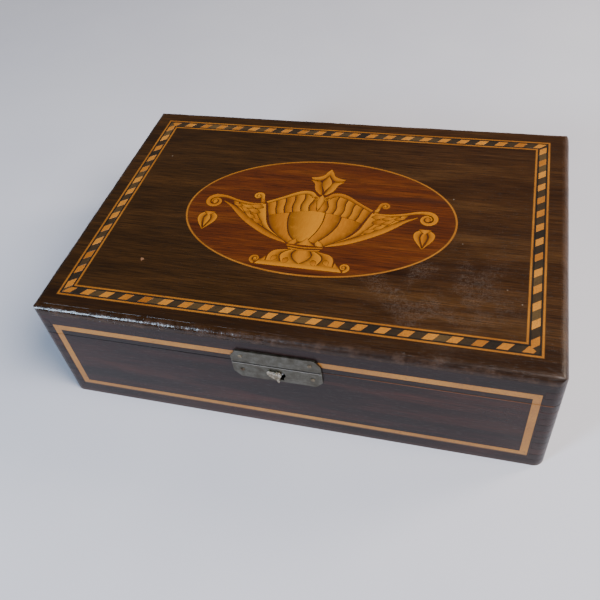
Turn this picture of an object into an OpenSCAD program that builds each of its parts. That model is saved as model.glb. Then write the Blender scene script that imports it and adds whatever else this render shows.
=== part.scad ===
// Inlaid wooden box with a hinged, locking lid.
// Millimetres. The box stands on Z = 0 with its middle over the origin. The front faces -Y.

/* [Case] */
// Width of the box, left to right
box_w = 254; // [244:1:280]
// Depth of the box, front to back
box_d = 175; // [168:1:190]
// Height of the closed box
box_h = 70; // [68:0.5:76]
// Height of the base, up to the seam
base_h = 50.8; // [50:0.2:54]
// Gap between the base and the closed lid
seam_gap = 0.4; // [0.2:0.1:0.6]
// Thickness of the boards round the sides
wall_t = 8; // [7.5:0.5:9]
// Thickness of the bottom board
bottom_t = 4; // [3:0.5:5]
// Width of the rebate that the bottom board sits in
rebate_w = 4; // [3:0.5:5]
// Thickness of the lid's top panel
panel_t = 4.5; // [4.5:0.25:5.5]
// Radius of the four upright corners
corner_r = 5; // [3:0.5:6]
// Radius of the lid's top edge
edge_r = 4; // [2:0.5:4]
// Number of comb fingers up each corner of the base
base_fingers = 10; // [6:2:14]
// Number of comb fingers up each corner of the lid
lid_fingers = 3; // [3:2:5]

/* [Inlay] */
// Depth of every inlaid strip and picture piece
inlay_t = 1; // [0.8:0.1:1.2]
// Distance from the box's outer faces to the banding on the lid
band_margin = 10.2; // [9:0.1:12]
// Width of each light line that edges the banding
line_w = 1.45; // [1.2:0.05:1.6]
// Width of each black fillet
fillet_w = 0.7; // [0.5:0.05:0.9]
// Width of the lozenge row
lozenge_w = 3.7; // [3:0.1:4]
// Length of one light and one dark lozenge together
lozenge_pitch = 10.6; // [9:0.1:12]
// Length of a light lozenge along the row
light_len = 4.8; // [4:0.1:5.5]
// Sideways lean of a lozenge across the row
lozenge_lean = 2.8; // [1:0.1:3.5]
// Distance from the box's sides to the stringing on the front
string_side = 8.9; // [8.5:0.1:12]
// Height of the stringing's lower edge
string_z0 = 7.9; // [6:0.1:12]
// Height of the stringing's upper edge
string_z1 = 58.1; // [57.5:0.1:59]
// Width of the stringing on the front
string_w = 3.5; // [2.5:0.1:4]

/* [Oval] */
// Half of the oval's width
oval_a = 73.6; // [70:0.1:80]
// Half of the oval's depth
oval_b = 46.1; // [44:0.1:48]
// Width of the light line round the oval
oval_line_w = 1.4; // [1:0.1:2]

/* [Lock] */
// Width of the lock's two face plates
plate_w = 44.4; // [42:0.2:48]
// Height of the lower face plate
plate_low_h = 10.5; // [10.5:0.1:11]
// Height of the upper face plate
plate_up_h = 8.4; // [8:0.1:9]
// Thickness of the face plates
plate_t = 1.6; // [1.4:0.1:2]
// How far the face plates stand proud of the front
plate_proud = 1; // [0.8:0.1:1.2]
// Travel of the bolt
bolt_travel = 2.7; // [2.4:0.1:2.7]

/* [Hinges] */
// Width of each hinge
hinge_w = 36; // [30:1:40]
// Distance of each hinge's middle from the box's middle
hinge_x = 72; // [60:1:85]
// Outer radius of the hinge knuckles
knuckle_r = 2; // [1.8:0.1:2.2]
// Radius of the hinge pins
hinge_pin_r = 0.9; // [0.8:0.05:1]
// Thickness of the hinge leaves
leaf_t = 1.2; // [1:0.1:1.4]

/* [Lining] */
// Thickness of the lining on the sides
lining_t = 1; // [0.8:0.1:2]
// Thickness of the pads in the floor and in the lid
pad_t = 3; // [2:0.5:4]

/* [Hidden] */
$fn = 48;

walnut = [0.20, 0.12, 0.10];
mahogany = [0.33, 0.15, 0.08];
boxwood = [0.86, 0.62, 0.30];
ebony = [0.06, 0.05, 0.05];
old_brass = [0.42, 0.42, 0.36];
bright_metal = [0.78, 0.76, 0.70];
velvet = [0.25, 0.07, 0.09];

half_w = box_w / 2;
half_d = box_d / 2;
lid_z = base_h + seam_gap;
rail_top = box_h - panel_t;
front_y = -half_d;
play = 0.05;                       // clearance round pins and in bores
over = 1;                          // how far a cutter runs past the face it cuts

// Lock, measured from the box's middle and the front face
lock_x = -0.5;
recess = plate_t - plate_proud;    // depth of the plates' recess in the wood
plate_gap = 0.3;                   // from the seam to each plate's edge
plate_low_z1 = base_h - plate_gap;
plate_low_z0 = plate_low_z1 - plate_low_h;
plate_up_z0 = lid_z + 0.1;
plate_up_z1 = plate_up_z0 + plate_up_h;
case_w = 30;
case_depth = 5.2;
case_wall = 0.8;
case_x0 = lock_x - case_w / 2;
case_z0 = plate_low_z0 + 0.2;
case_z1 = plate_low_z1 - 0.1;
hook_y0 = front_y + 2.2;           // the hooks' front face
hook_t = 1.4;
hook_stem_w = 2.2;
hook_beak = 2.6;
hook_xs = [-8, 10];                // left side of each hook's stem
beak_z0 = case_z0 + 3;
beak_h = 1.8;
bolt_y0 = hook_y0 + hook_t + 0.3;
bolt_bar_t = 1;
tooth_z0 = beak_z0 + beak_h + 0.4;
tooth_h = 1.8;
tooth_w = 3.1;
bolt_z1 = tooth_z0 + 3.6;
key_x = 1.5;
key_z = base_h - 5.6;
keyhole_r = 2.1;
keyhole_slot_w = 2;
keyhole_slot_h = 4;
key_pin_r = 0.8;
nail_r = 0.6;
nail_len = 6;
nail_low = [[-18, base_h - 5.4], [17, base_h - 5.4]];
nail_up = [[-17.6, lid_z + 4.8], [16.3, lid_z + 4.6]];

// Keyhole cover: it hangs from its rivet beside the keyhole
cover_x = -1.2;
cover_z = base_h - 3.4;            // the dip between the heart's lobes
pivot_z = cover_z - 1.1;
cover_t = 0.7;
cover_gap = 0.08;
cover_y = front_y - plate_proud - cover_gap - cover_t;
rivet_r = 0.5;
rivet_head_r = 1.1;
rivet_head_h = 0.4;

// Hinges
hinge_y = half_d + 1.1;
hinge_z = base_h + seam_gap / 2;
leaf_depth = 7;
knuckles = 5;
knuckle_gap = 0.2;
knuckle_room = 0.25;               // clearance round the other leaf's knuckles
screw_r = 1.2;
screw_head_r = 2.2;
screw_len = 8;
screw_y = half_d - 4.2;
screw_xs = [-hinge_w / 3, 0, hinge_w / 3];

// Picture, measured from the lid's middle
oval_x = -0.3;
oval_y = -0.3;
urn_x = -0.8;
arc_n = 8;

// Points of an arc, its two ends included
function arc(centre, r, a0, a1, n) =
    [for (i = [0 : n]) let (a = a0 + (a1 - a0) * i / n) centre + r * [cos(a), sin(a)]];

// A smooth curve through a list of points, with n steps between neighbours
function spline(p, n = 5) = concat(
    [for (i = [0 : len(p) - 2], k = [0 : n - 1])
        let (a = p[max(i - 1, 0)], b = p[i], c = p[i + 1], d = p[min(i + 2, len(p) - 1)], t = k / n)
        0.5 * (2 * b + (c - a) * t + (2 * a - 5 * b + 4 * c - d) * t * t
               + (3 * b - a - 3 * c + d) * t * t * t)],
    [p[len(p) - 1]]);

function reverse(p) = [for (i = [len(p) - 1 : -1 : 0]) p[i]];

// The same curve on the urn's other side
function mirrored(p) = [for (q = p) [2 * urn_x - q[0], q[1]]];

// A rectangle with round corners about the middle
function round_rect(w, d, r) = concat(
    arc([w / 2 - r, d / 2 - r], r, 0, 90, arc_n), arc([r - w / 2, d / 2 - r], r, 90, 180, arc_n),
    arc([r - w / 2, r - d / 2], r, 180, 270, arc_n), arc([w / 2 - r, r - d / 2], r, 270, 360, arc_n));

// A rectangle on its base line with round upper corners
function round_top(w, h, r) = concat(
    [[-w / 2, 0], [w / 2, 0]], arc([w / 2 - r, h - r], r, 0, 90, arc_n),
    arc([r - w / 2, h - r], r, 90, 180, arc_n));

function ellipse(a, b, n = 96) =
    [for (i = [0 : n - 1]) [oval_x + a * cos(360 * i / n), oval_y + b * sin(360 * i / n)]];

// A flat shape drawn in X and Z, stood upright from y0 to y0 + t
module upright(y0, t) {
    translate([0, y0 + t, 0]) rotate([90, 0, 0]) linear_extrude(t) children();
}

// A flat shape in the lid's top face, as deep as the inlay
module inlaid() {
    translate([0, 0, box_h - inlay_t]) linear_extrude(inlay_t) children();
}

// The outside of the box between two heights
module outside(z0, z1) {
    translate([0, 0, z0]) linear_extrude(z1 - z0) polygon(round_rect(box_w, box_d, corner_r));
}

// Every second finger space up the four corners
module finger_spaces(z0, z1, count, first) {
    step = (z1 - z0) / count;
    for (i = [first : 2 : count - 1], sx = [-1, 1], sy = [-1, 1])
        translate([sx * (half_w - wall_t / 2), sy * (half_d - wall_t / 2), z0 + (i + 0.5) * step])
            cube([wall_t, wall_t, step], center = true);
}

// A front or back board between two heights, with its fingers at the corners
module long_board(side, z0, z1, count) {
    difference() {
        intersection() {
            outside(z0, z1);
            translate([-half_w, side > 0 ? half_d - wall_t : -half_d, z0])
                cube([box_w, wall_t, z1 - z0]);
        }
        finger_spaces(z0, z1, count, 1);
    }
}

// A left or right board between two heights, with its fingers at the corners
module end_board(side, z0, z1, count) {
    difference() {
        intersection() {
            outside(z0, z1);
            translate([side > 0 ? half_w - wall_t : -half_w, -half_d, z0])
                cube([wall_t, box_d, z1 - z0]);
        }
        finger_spaces(z0, z1, count, 0);
    }
}

// The space of the bottom board
module bottom_space() {
    translate([rebate_w - half_w, rebate_w - half_d, 0])
        cube([box_w - 2 * rebate_w, box_d - 2 * rebate_w, bottom_t]);
}

// Base -------------------------------------------------------------------------------------

module lock_mortise() {
    translate([case_x0 - 0.1, front_y + recess, case_z0 - 0.1])
        cube([case_w + 0.2, case_depth + 0.1, base_h - case_z0 + 0.1 + over]);
}

module base_front() {
    color(walnut) difference() {
        long_board(-1, 0, base_h, base_fingers);
        bottom_space();
        upright(front_y, inlay_t) base_string_shape();
        upright(front_y, recess) low_plate_shape();
        lock_mortise();
        for (p = nail_low) translate([p[0], front_y, p[1]]) rotate([-90, 0, 0])
            cylinder(r = nail_r + play, h = nail_len);
    }
}

module base_back() {
    color(walnut) difference() {
        long_board(1, 0, base_h, base_fingers);
        bottom_space();
        hinge_gains(base_h - leaf_t, leaf_t + over);
        hinge_screw_holes(base_h, -1);
    }
}

module base_left_end() {
    color(walnut) difference() {
        end_board(-1, 0, base_h, base_fingers);
        bottom_space();
    }
}

module base_right_end() {
    color(walnut) difference() {
        end_board(1, 0, base_h, base_fingers);
        bottom_space();
    }
}

module base_bottom() {
    color(walnut) bottom_space();
}

// Stringing: a mitred frame of light lines on the front, cut through at the seam
module base_string_shape() {
    x0 = string_side - half_w;
    x1 = -x0;
    polygon([[x0, string_z0], [x0 + string_w, string_z0 + string_w], [x0 + string_w, base_h],
             [x0, base_h]]);
    polygon([[x0, string_z0], [x1, string_z0], [x1 - string_w, string_z0 + string_w],
             [x0 + string_w, string_z0 + string_w]]);
    polygon([[x1, string_z0], [x1, base_h], [x1 - string_w, base_h],
             [x1 - string_w, string_z0 + string_w]]);
}

module lid_string_shape() {
    x0 = string_side - half_w;
    x1 = -x0;
    under = lock_x + plate_w / 2 - 2.5;
    for (s = [-1, 1]) {
        x = s * x1;
        inner = s * (x1 - string_w);
        polygon([[x, lid_z], [x, string_z1], [inner, string_z1 - string_w], [inner, lid_z]]);
        polygon([[x, string_z1], [s * under, string_z1], [s * under, string_z1 - string_w],
                 [inner, string_z1 - string_w]]);
    }
}

module base_stringing() {
    color(boxwood) upright(front_y, inlay_t) base_string_shape();
}

module lid_stringing() {
    color(boxwood) difference() {
        upright(front_y, inlay_t) lid_string_shape();
        upright(front_y, recess) up_plate_shape();
        hook_plate_nail_holes();
    }
}

// Lock -------------------------------------------------------------------------------------

module low_plate_shape() {
    x0 = lock_x - plate_w / 2;
    x1 = lock_x + plate_w / 2;
    cut = [3.5, 3.8];
    polygon([[x0, plate_low_z1], [x0, plate_low_z0 + cut[1]], [x0 + cut[0], plate_low_z0],
             [x1 - cut[0], plate_low_z0], [x1, plate_low_z0 + cut[1]], [x1, plate_low_z1]]);
}

module up_plate_shape() {
    x0 = lock_x - plate_w / 2;
    x1 = lock_x + plate_w / 2;
    cut = [3, 4.4];
    polygon([[x0, plate_up_z0], [x1, plate_up_z0], [x1, plate_up_z1 - cut[1]],
             [x1 - cut[0], plate_up_z1], [x0 + cut[0], plate_up_z1], [x0, plate_up_z1 - cut[1]]]);
}

module lock_face_plate() {
    color(old_brass) difference() {
        upright(front_y - plate_proud, plate_t) low_plate_shape();
        translate([key_x, front_y - plate_proud - over, key_z]) rotate([-90, 0, 0])
            cylinder(r = keyhole_r, h = plate_t + 2 * over);
        translate([key_x - keyhole_slot_w / 2, front_y - plate_proud - over, key_z - keyhole_slot_h])
            cube([keyhole_slot_w, plate_t + 2 * over, keyhole_slot_h]);
        for (p = nail_low) translate([p[0], front_y - plate_proud - over, p[1]]) rotate([-90, 0, 0])
            cylinder(r = nail_r + play, h = plate_t + 2 * over);
        translate([cover_x, front_y - plate_proud - over, pivot_z]) rotate([-90, 0, 0])
            cylinder(r = rivet_r + play, h = plate_t + 2 * over);
    }
}

// Folded sheet box behind the face plate, open towards it, with a slot for each hook
module lock_case() {
    y0 = front_y + recess;
    color(old_brass) difference() {
        translate([case_x0, y0, case_z0]) cube([case_w, case_depth, case_z1 - case_z0]);
        translate([case_x0 + case_wall, y0 - over, case_z0 + case_wall])
            cube([case_w - 2 * case_wall, case_depth - case_wall + over,
                  case_z1 - case_z0 - 2 * case_wall]);
        for (x = hook_xs)
            translate([x - hook_beak - 0.4, hook_y0 - 0.4, case_z1 - case_wall - over])
                cube([hook_beak + hook_stem_w + 0.8, hook_t + 0.7, case_wall + 2 * over]);
        translate([key_x, y0 + case_depth - case_wall - over, key_z]) rotate([-90, 0, 0])
            cylinder(r = key_pin_r + play, h = case_wall + 2 * over);
    }
}

// Pin that a hollow key turns on, riveted into the back of the case
module lock_key_pin() {
    y0 = front_y - 0.3;
    color(bright_metal) translate([key_x, y0, key_z]) rotate([-90, 0, 0])
        cylinder(r = key_pin_r, h = front_y + recess + case_depth - y0);
}

// Sliding bar with a tooth for each hook and a notch for the key
module lock_bolt() {
    bar_x0 = hook_xs[0] - hook_beak - 0.3 - tooth_w - 0.2;
    bar_len = 24;
    notch_x0 = key_x - key_pin_r - bolt_travel - 0.3;
    notch_w = 8.3;
    notch_h = 1.2;
    color(old_brass) {
        difference() {
            translate([bar_x0, bolt_y0, tooth_z0]) cube([bar_len, bolt_bar_t, bolt_z1 - tooth_z0]);
            translate([notch_x0, bolt_y0 - over, tooth_z0 - over])
                cube([notch_w, bolt_bar_t + 2 * over, notch_h + over]);
        }
        for (x = hook_xs)
            translate([x - hook_beak - 0.3 - tooth_w, hook_y0, tooth_z0])
                cube([tooth_w, bolt_y0 - hook_y0 + bolt_bar_t / 2, tooth_h]);
    }
}

// Bowed strip that presses on the bolt and keeps it from sliding by itself
module bolt_spring() {
    z = bolt_z1 + 0.05;
    t = 0.2;
    rise = case_z1 - case_wall - z - t;
    span = 9;
    n = 12;
    lower = [for (i = [-n : n]) [lock_x + span * i / n, z + rise * i * i / (n * n)]];
    color(bright_metal) upright(bolt_y0, bolt_bar_t)
        polygon(concat(lower, reverse([for (p = lower) p + [0, t]])));
}

module plate_nails(places) {
    for (p = places) translate([p[0], front_y - plate_proud, p[1]]) rotate([-90, 0, 0]) {
        cylinder(r = nail_r, h = nail_len);
        translate([0, 0, -0.3]) cylinder(r = nail_r * 1.8, h = 0.3);
    }
}

module face_plate_pins() {
    color(old_brass) plate_nails(nail_low);
}

module hook_plate_pins() {
    color(old_brass) plate_nails(nail_up);
}

module hook_plate_nail_holes() {
    for (p = nail_up) translate([p[0], front_y - plate_proud - over, p[1]]) rotate([-90, 0, 0])
        cylinder(r = nail_r + play, h = nail_len + over);
}

// Upper plate: its face, the flange under the rail and the two hooks
module lock_hook_plate() {
    flange_y1 = hook_y0 + hook_t + 1.2;
    color(old_brass) difference() {
        union() {
            upright(front_y - plate_proud, plate_t) up_plate_shape();
            translate([case_x0 + 0.5, front_y + recess - 0.2, lid_z + 0.1])
                cube([case_w - 1, flange_y1 - front_y - recess + 0.2, 1.2]);
            for (x = hook_xs) {
                translate([x, hook_y0, beak_z0]) cube([hook_stem_w, hook_t, lid_z + 0.5 - beak_z0]);
                translate([x - hook_beak, hook_y0, beak_z0])
                    cube([hook_beak + 0.5, hook_t, beak_h]);
            }
        }
        hook_plate_nail_holes();
    }
}

// Heart-shaped drop that swings over the keyhole
module cover_shape() {
    left = [cover_x - 2.3, cover_z - 1.2];
    right = [cover_x + 1.4, cover_z - 0.9];
    tip = [cover_x + 0.9, cover_z - 7.3];
    polygon(concat(arc(right, 1.7, -10, 118, 10), arc(left, 2, 62, 200, 10),
                   spline([left + [-1.9, -0.7], left + [-0.6, -2.6], tip + [-0.9, 1.6],
                           tip + [-0.5, 0.2]], 4),
                   arc(tip, 0.5, 200, 340, 5),
                   spline([tip + [0.6, 0.4], tip + [0.8, 2.4], right + [1.6, -0.9]], 4)));
}

module keyhole_cover() {
    color(bright_metal) difference() {
        upright(cover_y, cover_t) cover_shape();
        translate([cover_x, cover_y - over, pivot_z]) rotate([-90, 0, 0])
            cylinder(r = rivet_r + play, h = cover_t + 2 * over);
    }
}

module cover_rivet() {
    y1 = front_y + recess;
    color(old_brass) translate([cover_x, y1, pivot_z]) rotate([90, 0, 0]) {
        cylinder(r = rivet_r, h = y1 - cover_y + play);
        translate([0, 0, y1 - cover_y + play]) cylinder(r = rivet_head_r, h = rivet_head_h);
    }
}

// Hinges -----------------------------------------------------------------------------------

// Wood cut away for the leaves and the knuckles of both hinges
module hinge_gains(z0, h) {
    for (s = [-1, 1]) {
        translate([s * hinge_x - hinge_w / 2, half_d - leaf_depth, z0])
            cube([hinge_w, leaf_depth + over, h]);
        translate([s * hinge_x - hinge_w / 2, hinge_y, hinge_z]) rotate([0, 90, 0])
            cylinder(r = knuckle_r + knuckle_room, h = hinge_w);
    }
}

module hinge_screw_holes(z, way) {
    for (s = [-1, 1], x = screw_xs)
        translate([s * hinge_x + x, screw_y, z]) mirror([0, 0, way > 0 ? 0 : 1])
            cylinder(r = screw_r + play, h = screw_len + 1);
}

// One side of both hinges: knuckles of the given parity and the leaf that carries them
module hinge_leaves(z0, first) {
    pitch = hinge_w / knuckles;
    for (s = [-1, 1]) translate([s * hinge_x - hinge_w / 2, 0, 0]) difference() {
        union() {
            translate([0, half_d - leaf_depth, z0]) cube([hinge_w, hinge_y - half_d + leaf_depth, leaf_t]);
            for (k = [first : 2 : knuckles - 1])
                translate([k * pitch + knuckle_gap / 2, hinge_y, hinge_z]) rotate([0, 90, 0])
                    cylinder(r = knuckle_r, h = pitch - knuckle_gap);
        }
        for (k = [1 - first : 2 : knuckles - 1])
            translate([k * pitch - knuckle_gap / 2, hinge_y, hinge_z]) rotate([0, 90, 0])
                cylinder(r = knuckle_r + knuckle_room, h = pitch + knuckle_gap);
        translate([-over, hinge_y, hinge_z]) rotate([0, 90, 0])
            cylinder(r = hinge_pin_r + play, h = hinge_w + 2 * over);
        for (x = screw_xs) translate([hinge_w / 2 + x, screw_y, 0])
            screw_head(z0, first == 0 ? -1 : 1, play);
    }
}

// Countersunk head whose wide end lies in the leaf's outer face
module screw_head(z0, way, room) {
    face = way > 0 ? z0 : z0 + leaf_t;
    translate([0, 0, face]) mirror([0, 0, way > 0 ? 0 : 1])
        cylinder(r1 = screw_head_r + room, r2 = screw_r + room, h = leaf_t);
}

module hinge_screws(z0, way) {
    far = way > 0 ? z0 + leaf_t : z0;
    for (s = [-1, 1], x = screw_xs) translate([s * hinge_x + x, screw_y, 0]) {
        screw_head(z0, way, 0);
        translate([0, 0, far]) mirror([0, 0, way > 0 ? 0 : 1]) cylinder(r = screw_r, h = screw_len - leaf_t);
    }
}

module hinge_base_leaves() {
    color(old_brass) hinge_leaves(base_h - leaf_t, 0);
}

module hinge_lid_leaves() {
    color(old_brass) hinge_leaves(lid_z, 1);
}

module hinge_pins() {
    color(bright_metal) for (s = [-1, 1])
        translate([s * hinge_x - hinge_w / 2, hinge_y, hinge_z]) rotate([0, 90, 0])
            cylinder(r = hinge_pin_r, h = hinge_w);
}

module hinge_base_screws() {
    color(old_brass) hinge_screws(base_h - leaf_t, -1);
}

module hinge_lid_screws() {
    color(old_brass) hinge_screws(lid_z, 1);
}

// Lining -----------------------------------------------------------------------------------

inner_w = box_w - 2 * wall_t;
inner_d = box_d - 2 * wall_t;
lining_z1 = base_h - 3;

module long_lining(side) {
    color(velvet) translate([-inner_w / 2, side > 0 ? inner_d / 2 - lining_t : -inner_d / 2, bottom_t])
        cube([inner_w, lining_t, lining_z1 - bottom_t]);
}

module end_lining(side) {
    color(velvet) translate([side > 0 ? inner_w / 2 - lining_t : -inner_w / 2, lining_t - inner_d / 2,
                             bottom_t])
        cube([lining_t, inner_d - 2 * lining_t, lining_z1 - bottom_t]);
}

module lining_front() long_lining(-1);
module lining_back() long_lining(1);
module lining_left() end_lining(-1);
module lining_right() end_lining(1);

module floor_pad() {
    color(velvet) translate([lining_t - inner_w / 2, lining_t - inner_d / 2, bottom_t])
        cube([inner_w - 2 * lining_t, inner_d - 2 * lining_t, pad_t]);
}

module lid_lining() {
    room = 0.3;
    color(velvet) translate([room - inner_w / 2, room - inner_d / 2, rail_top - pad_t])
        cube([inner_w - 2 * room, inner_d - 2 * room, pad_t]);
}

// Lid --------------------------------------------------------------------------------------

module lid_front_rail() {
    color(walnut) difference() {
        long_board(-1, lid_z, rail_top, lid_fingers);
        upright(front_y, inlay_t) lid_string_shape();
        upright(front_y, recess) up_plate_shape();
        translate([case_x0 + 0.4, front_y - over, lid_z - over])
            cube([case_w - 0.8, over + 2.2 + hook_t + 1.3, 1.3 + over]);
        hook_plate_nail_holes();
    }
}

module lid_back_rail() {
    color(walnut) difference() {
        long_board(1, lid_z, rail_top, lid_fingers);
        hinge_gains(lid_z - over, leaf_t + over);
        hinge_screw_holes(lid_z, 1);
    }
}

module lid_left_rail() {
    color(walnut) end_board(-1, lid_z, rail_top, lid_fingers);
}

module lid_right_rail() {
    color(walnut) end_board(1, lid_z, rail_top, lid_fingers);
}

// Top panel with its rounded edge, and the shallow pockets for the banding and the oval
module lid_panel() {
    outer = band_margin;
    inner = band_margin + 2 * line_w + 2 * fillet_w + lozenge_w;
    color(walnut) difference() {
        intersection() {
            outside(rail_top, box_h);
            translate([0, half_d, rail_top]) rotate([90, 0, 0]) linear_extrude(box_d)
                polygon(round_top(box_w, panel_t, edge_r));
            translate([-half_w, 0, rail_top]) rotate([90, 0, 90]) linear_extrude(box_w)
                polygon(round_top(box_d, panel_t, edge_r));
        }
        for (s = [-1, 1]) {
            inlaid() polygon(side_strip(s, outer, inner));
            inlaid() polygon(end_strip(s, outer, inner));
        }
        inlaid() polygon(ellipse(oval_a, oval_b));
    }
}

// Banding ----------------------------------------------------------------------------------

// Mitred strip along the front (s = -1) or back (s = 1), between two distances from the edge
function side_strip(s, a, b) = [[a - half_w, s * (half_d - a)], [half_w - a, s * (half_d - a)],
                                [half_w - b, s * (half_d - b)], [b - half_w, s * (half_d - b)]];

// Mitred strip along the left (s = -1) or right (s = 1)
function end_strip(s, a, b) = [[s * (half_w - a), a - half_d], [s * (half_w - a), half_d - a],
                               [s * (half_w - b), half_d - b], [s * (half_w - b), b - half_d]];

module mitred_frame(a, w) {
    for (s = [-1, 1]) {
        inlaid() polygon(side_strip(s, a, a + w));
        inlaid() polygon(end_strip(s, a, a + w));
    }
}

// One kind of lozenge all round: each starts at `start` in its pitch and is `length` long
module lozenges(start, length) {
    a = band_margin + line_w + fillet_w;
    b = a + lozenge_w;
    nx = ceil(half_w / lozenge_pitch);
    ny = ceil(half_d / lozenge_pitch);
    for (s = [-1, 1]) {
        intersection() {
            inlaid() polygon(side_strip(s, a, b));
            for (i = [-nx : nx]) let (x = i * lozenge_pitch + start, y = s * (half_d - (a + b) / 2))
                inlaid() polygon([[x, y - lozenge_w], [x + length, y - lozenge_w],
                                  [x + length + 2 * lozenge_lean, y + lozenge_w],
                                  [x + 2 * lozenge_lean, y + lozenge_w]]);
        }
        intersection() {
            inlaid() polygon(end_strip(s, a, b));
            for (i = [-ny : ny]) let (y = i * lozenge_pitch + start, x = s * (half_w - (a + b) / 2))
                inlaid() polygon([[x - lozenge_w, y], [x + lozenge_w, y + 2 * lozenge_lean],
                                  [x + lozenge_w, y + 2 * lozenge_lean + length],
                                  [x - lozenge_w, y + length]]);
        }
    }
}

module banding_outer_line() {
    color(boxwood) mitred_frame(band_margin, line_w);
}

module banding_outer_fillet() {
    color(ebony) mitred_frame(band_margin + line_w, fillet_w);
}

module banding_light_lozenges() {
    color(boxwood) lozenges(0, light_len);
}

module banding_dark_lozenges() {
    color(ebony) lozenges(light_len, lozenge_pitch - light_len);
}

module banding_inner_fillet() {
    color(ebony) mitred_frame(band_margin + line_w + fillet_w + lozenge_w, fillet_w);
}

module banding_inner_line() {
    color(boxwood) mitred_frame(band_margin + line_w + 2 * fillet_w + lozenge_w, line_w);
}

// Picture ----------------------------------------------------------------------------------

// Curves that neighbouring pieces of the urn share
bowl_side = spline([[-26.4, -2.5], [-25, -8], [-20.5, -15.5], [-15, -21], [-10.4, -24.9]]);
cover_side = spline([[-29.6, 6.6], [-28.2, 2], [-26.4, -2.5]], 3);
rim_curve = spline([[-26.4, -2.5], [-14.5, 0.5], [urn_x, 1.8]]);

function whole_rim() = concat(rim_curve, reverse([for (p = mirrored(rim_curve)) if (p[0] > urn_x) p]));

function finial_half() = spline([[urn_x, 39.1], [-3.2, 34.8], [-6, 31.2], [-10.1, 29.6], [-8.6, 28.4],
                                 [-10.5, 26.6], [-7.6, 24.4], [-4.8, 20.2], [-2.6, 15.9]], 4);

function cover_half() = concat(spline([[-3.9, 17.3], [-5.6, 18.2], [-9.7, 18.6], [-14.4, 16.7],
                                       [-21.6, 11.6], [-29.6, 6.6]]),
                               [for (i = [1 : len(cover_side) - 1]) cover_side[i]]);

function handle_outer() = spline([[-10.4, -24.9], [-20.3, -21.4], [-29.6, -16.3], [-38.6, -10.2],
                                  [-44.7, -4.6], [-49, 0], [-53.4, 3.2], [-55.6, 3.2], [-55.4, 0.4],
                                  [-57.4, -2.6], [-61, -3], [-64.2, -0.6], [-65.3, 3], [-63.6, 7],
                                  [-59.8, 9.2], [-54.5, 9.2], [-46.5, 6.6], [-39.4, 5.4], [-35.6, 6.4],
                                  [-38, 8.4], [-38.4, 11.2], [-36.2, 13.4], [-33.2, 12.8],
                                  [-31.2, 10.2], [-29.6, 6.6]], 4);

function pendant_half() = spline([[-59.5, -4.6], [-61.3, -6.6], [-64.3, -9.8], [-63.4, -12.8],
                                  [-60.8, -16.2], [-59, -19.4]], 4);

function foot_half() = spline([[-7.6, -28.4], [-13, -29], [-16.8, -31.8], [-17.6, -35], [-21, -36.6],
                               [-20.8, -34.4], [-23.6, -33.2], [-26.6, -34.8], [-26.6, -38.2],
                               [-23.8, -41.2]], 4);

module left_handle_shape() polygon(concat(
    handle_outer(), [for (i = [1 : len(cover_side) - 1]) cover_side[i]],
    [for (i = [1 : len(bowl_side) - 2]) bowl_side[i]]));

module right_handle_shape() translate([2 * urn_x, 0]) mirror([1, 0]) left_handle_shape();

module finial_shape() polygon(concat(finial_half(),
    reverse([for (p = mirrored(finial_half())) if (p[0] > urn_x) p])));

module cover_top_shape() polygon(concat(
    [[urn_x, 15.9]], [[-2.6, 15.9]], cover_half(),
    [for (i = [1 : len(rim_curve) - 1]) rim_curve[i]],
    reverse([for (i = [1 : len(rim_curve) - 2]) mirrored(rim_curve)[i]]),
    reverse(mirrored(cover_half())), [[2 * urn_x + 2.6, 15.9]]));

module bowl_shape() polygon(concat(
    whole_rim(), [for (i = [1 : len(bowl_side) - 1]) mirrored(bowl_side)[i]],
    reverse([for (i = [1 : len(bowl_side) - 1]) bowl_side[i]])));

module collar_shape() polygon([[-10.4, -24.9], [2 * urn_x + 10.4, -24.9], [2 * urn_x + 7.6, -28.4],
                               [-7.6, -28.4]]);

module foot_shape() polygon(concat(foot_half(), reverse(mirrored(foot_half()))));

// The drop hangs about its own middle line
module left_pendant_shape() polygon(concat(pendant_half(),
    reverse([for (p = pendant_half()) if (p[0] < -59.01) [-118 - p[0], p[1]]])));

module right_pendant_shape() translate([2 * urn_x, -1]) mirror([1, 0]) left_pendant_shape();

module oval_line() {
    color(boxwood) inlaid() difference() {
        polygon(ellipse(oval_a, oval_b));
        polygon(ellipse(oval_a - oval_line_w, oval_b - oval_line_w));
    }
}

module oval_ground() {
    color(mahogany) difference() {
        inlaid() polygon(ellipse(oval_a - oval_line_w, oval_b - oval_line_w));
        inlaid() finial_shape();
        inlaid() cover_top_shape();
        inlaid() bowl_shape();
        inlaid() left_handle_shape();
        inlaid() right_handle_shape();
        inlaid() left_pendant_shape();
        inlaid() right_pendant_shape();
        inlaid() collar_shape();
        inlaid() foot_shape();
    }
}

module urn_finial() color(boxwood) inlaid() finial_shape();
module urn_cover() color(boxwood) inlaid() cover_top_shape();
module urn_bowl() color(boxwood) inlaid() bowl_shape();
module urn_left_handle() color(boxwood) inlaid() left_handle_shape();
module urn_right_handle() color(boxwood) inlaid() right_handle_shape();
module urn_left_pendant() color(boxwood) inlaid() left_pendant_shape();
module urn_right_pendant() color(boxwood) inlaid() right_pendant_shape();
module urn_collar() color(boxwood) inlaid() collar_shape();
module urn_foot() color(boxwood) inlaid() foot_shape();

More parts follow.
